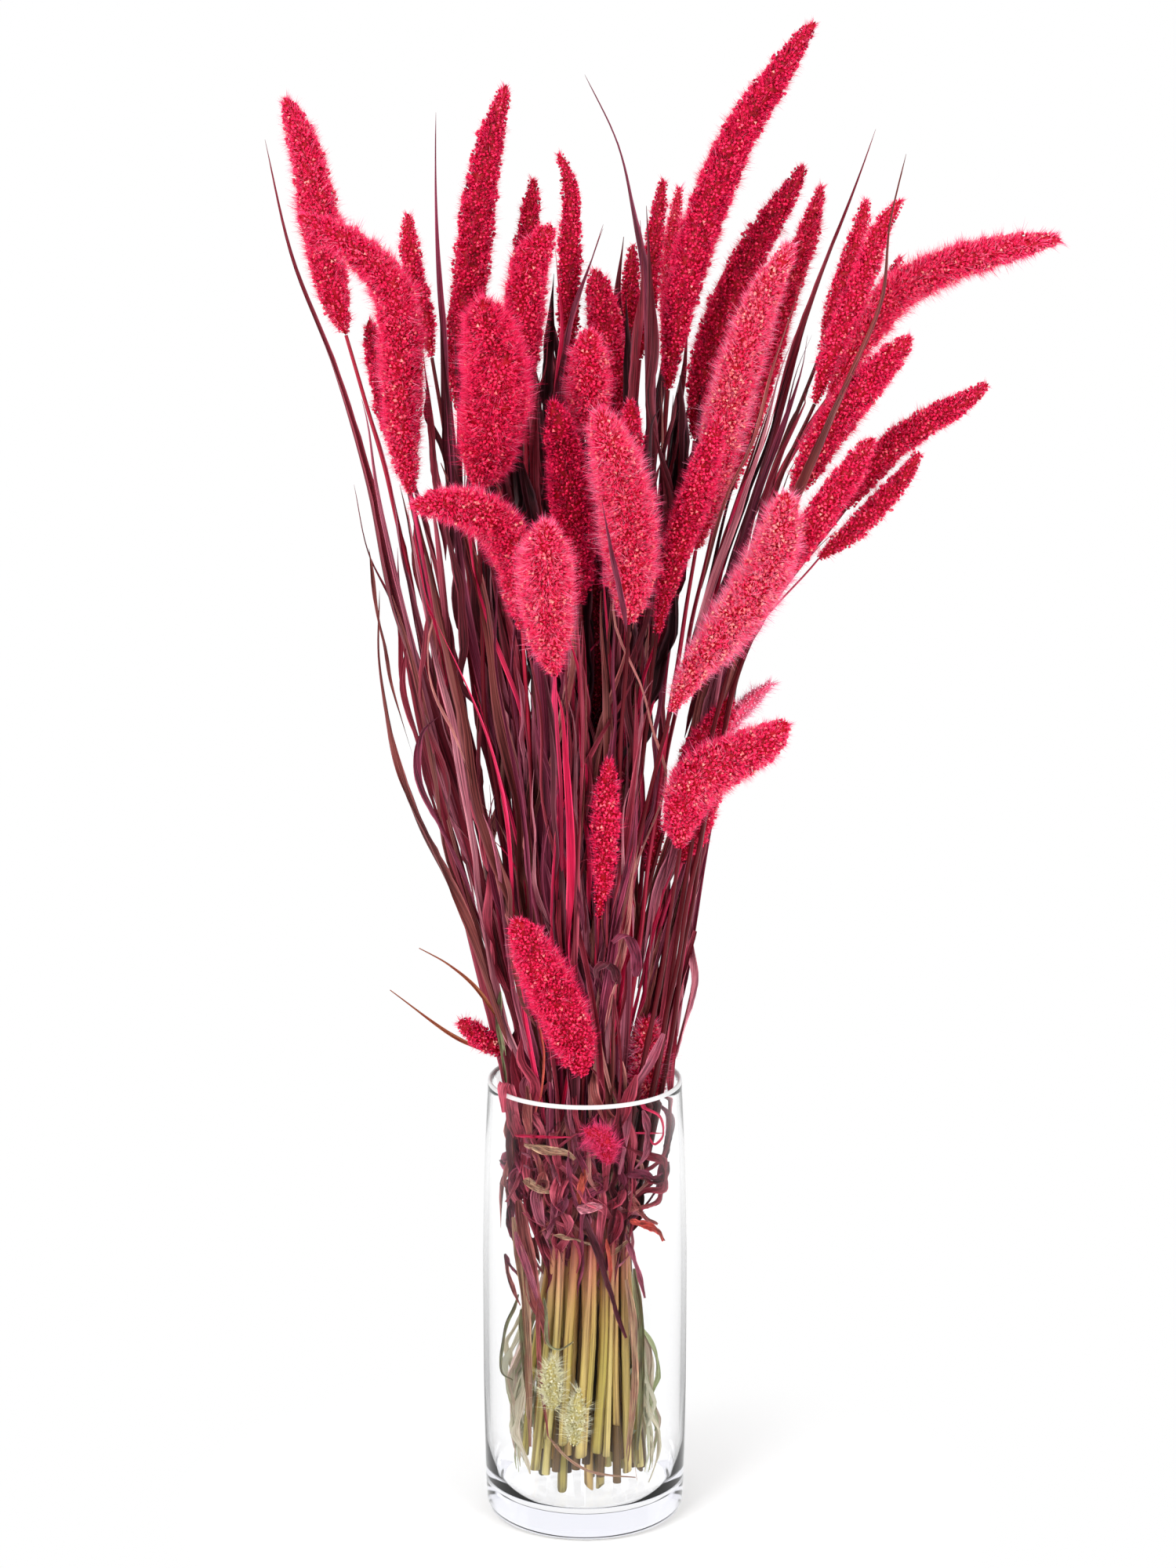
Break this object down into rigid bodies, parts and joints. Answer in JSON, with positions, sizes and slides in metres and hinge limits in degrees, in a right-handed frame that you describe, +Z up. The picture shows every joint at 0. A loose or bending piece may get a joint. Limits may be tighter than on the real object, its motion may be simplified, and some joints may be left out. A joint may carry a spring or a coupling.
{
  "type": "vase of dried foxtail millet",
  "caption": "Clear glass cylinder vase holding a tall spreading bunch of red-dyed dried foxtail millet with its leaves.",
  "frame": {"origin": "centre of the vase's flat underside", "axes": "+Z up along the vase's axis and the bunch's greatest height; the side seen in the picture faces -Y, +X is to the right as seen there"},
  "size_m": [0.3913, 0.2174, 0.7637],
  "materials": {
    "glass": "clear, smooth",
    "dyed_millet": "dry, matte, dyed red",
    "undyed_millet": "dry, matte, straw coloured",
    "leaf": "dry, matte, dyed maroon",
    "twig": "dry, matte"
  },
  "bodies": {
    "root": {"vase": "glass", "millet_far_left": "dyed_millet", "millet_left_drooping": "dyed_millet", "millet_left_pointed": "dyed_millet", "millet_left_shaded": "dyed_millet", "millet_left_tall": "dyed_millet", "millet_left_plump": "dyed_millet", "millet_left_back_slim": "dyed_millet", "millet_left_bright": "dyed_millet", "millet_centre_slim": "dyed_millet", "millet_centre_front": "dyed_millet", "millet_centre_tall": "dyed_millet", "millet_centre_short": "dyed_millet", "millet_front_bright": "dyed_millet", "millet_front_dark": "dyed_millet", "millet_back_shaded": "dyed_millet", "millet_middle_hidden": "dyed_millet", "millet_low_upright": "dyed_millet", "millet_front_arching": "dyed_millet", "millet_front_plump": "dyed_millet", "millet_right_tallest": "dyed_millet", "millet_right_slim": "dyed_millet", "millet_right_pale": "dyed_millet", "millet_centre_back": "dyed_millet", "millet_right_dark": "dyed_millet", "millet_right_pink": "dyed_millet", "millet_right_bright": "dyed_millet", "millet_right_lower": "dyed_millet", "millet_right_bristly": "dyed_millet", "millet_far_right_curved": "dyed_millet", "millet_far_right_small": "dyed_millet", "millet_fan_upper": "dyed_millet", "millet_fan_narrow": "dyed_millet", "millet_fan_middle": "dyed_millet", "millet_fan_outer": "dyed_millet", "millet_fan_front": "dyed_millet", "millet_thread_stalk": "dyed_millet", "millet_low_right_long": "dyed_millet", "millet_low_right_red": "dyed_millet", "millet_low_right_pale": "dyed_millet", "millet_low_right_behind": "dyed_millet", "millet_low_small": "dyed_millet", "millet_low_front_leaning": "dyed_millet", "millet_low_left_short": "dyed_millet", "millet_low_rim": "dyed_millet", "millet_broken_bit": "dyed_millet", "millet_undyed_upper": "undyed_millet", "millet_undyed_lower": "undyed_millet", "leaf_far_left": "leaf", "leaf_left_wavy": "leaf", "leaf_left_outer": "leaf", "leaf_left_purple": "leaf", "leaf_centre_tall": "leaf", "leaf_centre_left": "leaf", "leaf_right_inner": "leaf", "leaf_right_outer": "leaf", "leaf_right_low": "leaf", "twig_left_upper": "twig", "twig_left_lower": "twig"}
  },
  "joints": []
}
